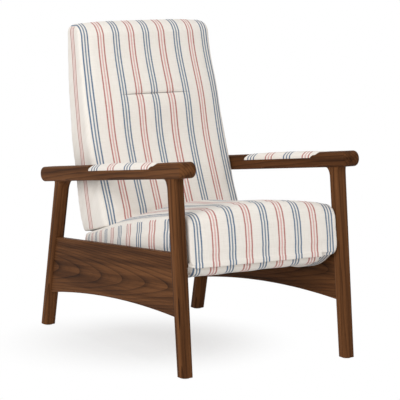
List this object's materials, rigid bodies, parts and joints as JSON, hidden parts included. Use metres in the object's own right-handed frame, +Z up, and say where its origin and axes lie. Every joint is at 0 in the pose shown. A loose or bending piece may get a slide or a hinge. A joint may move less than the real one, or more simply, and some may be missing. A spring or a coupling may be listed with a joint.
{
  "type": "push-back recliner",
  "caption": "High-leg recliner with open walnut side frames, striped linen seat and back, a gliding seat, a reclining back and a padded footrest folded under the seat.",
  "frame": {"origin": "on the floor under the middle of the chair's overall box", "axes": "+Z up, the sitter faces -Y, +X to the right of someone looking at the chair's front"},
  "size_m": [0.624, 0.9684, 0.9984],
  "materials": {
    "walnut": "satin oiled walnut with long grain",
    "frame_wood": "planed beech, unfinished",
    "dowel_wood": "fluted beech dowel",
    "plywood": "sanded birch plywood",
    "striped_linen": "cream linen weave with thin blue and red stripes",
    "webbing": "elastic upholstery webbing",
    "rail_steel": "black powder coat",
    "zinc_steel": "bright zinc plate",
    "nylon": "natural nylon",
    "stop_rubber": "black moulded rubber"
  },
  "bodies": {
    "frame": {"left_front_leg": "walnut", "left_rear_leg": "walnut", "right_front_leg": "walnut", "right_rear_leg": "walnut", "left_arm": "walnut", "right_arm": "walnut", "left_side_panel": "walnut", "right_side_panel": "walnut", "left_arm_pad": "striped_linen", "right_arm_pad": "striped_linen", "front_stretcher": "frame_wood", "rear_stretcher": "frame_wood", "stretcher_dowels": "dowel_wood", "panel_dowels": "dowel_wood", "leg_tenon_dowels": "dowel_wood", "floor_glides": "nylon", "left_base_rail": "rail_steel", "right_base_rail": "rail_steel", "base_rail_screws": "zinc_steel", "glide_stops": "stop_rubber"},
    "seat": {"left_seat_rail": "frame_wood", "right_seat_rail": "frame_wood", "front_seat_rail": "frame_wood", "rear_seat_rail": "frame_wood", "seat_straps": "webbing", "seat_cushion": "striped_linen", "left_slide_bar": "rail_steel", "right_slide_bar": "rail_steel", "nylon_runners": "nylon", "left_recline_plate": "rail_steel", "right_recline_plate": "rail_steel", "recline_rivets": "zinc_steel", "seat_hinge_leaf": "zinc_steel", "footrest_hinge_pin": "zinc_steel", "leg_flap": "striped_linen"},
    "back": {"left_back_post": "frame_wood", "right_back_post": "frame_wood", "bottom_back_rail": "frame_wood", "lumbar_back_rail": "frame_wood", "top_back_rail": "frame_wood", "back_straps": "webbing", "back_cushion": "striped_linen", "left_back_bracket": "rail_steel", "right_back_bracket": "rail_steel"},
    "footrest": {"footrest_board": "plywood", "footrest_pad": "striped_linen", "footrest_hinge_leaf": "zinc_steel"}
  },
  "joints": [
    {"name": "seat_glide", "type": "slide", "parent": "frame", "child": "seat", "axis": [0, -0.9919, 0.1271], "range_m": [0, 0.07]},
    {"name": "back_recline", "type": "hinge", "parent": "seat", "child": "back", "pos_m": [0, 0.244, 0.318], "axis": [-1, 0, 0], "range_deg": [0, 25]},
    {"name": "footrest_flip", "type": "hinge", "parent": "seat", "child": "footrest", "pos_m": [0, -0.39122, 0.30725], "axis": [-1, 0, 0], "range_deg": [0, 173], "deforming": ["leg_flap"]}
  ],
  "couplings": [
    {"joint": "footrest_flip", "follows": "seat_glide", "rad_per_m": 43.134}
  ]
}
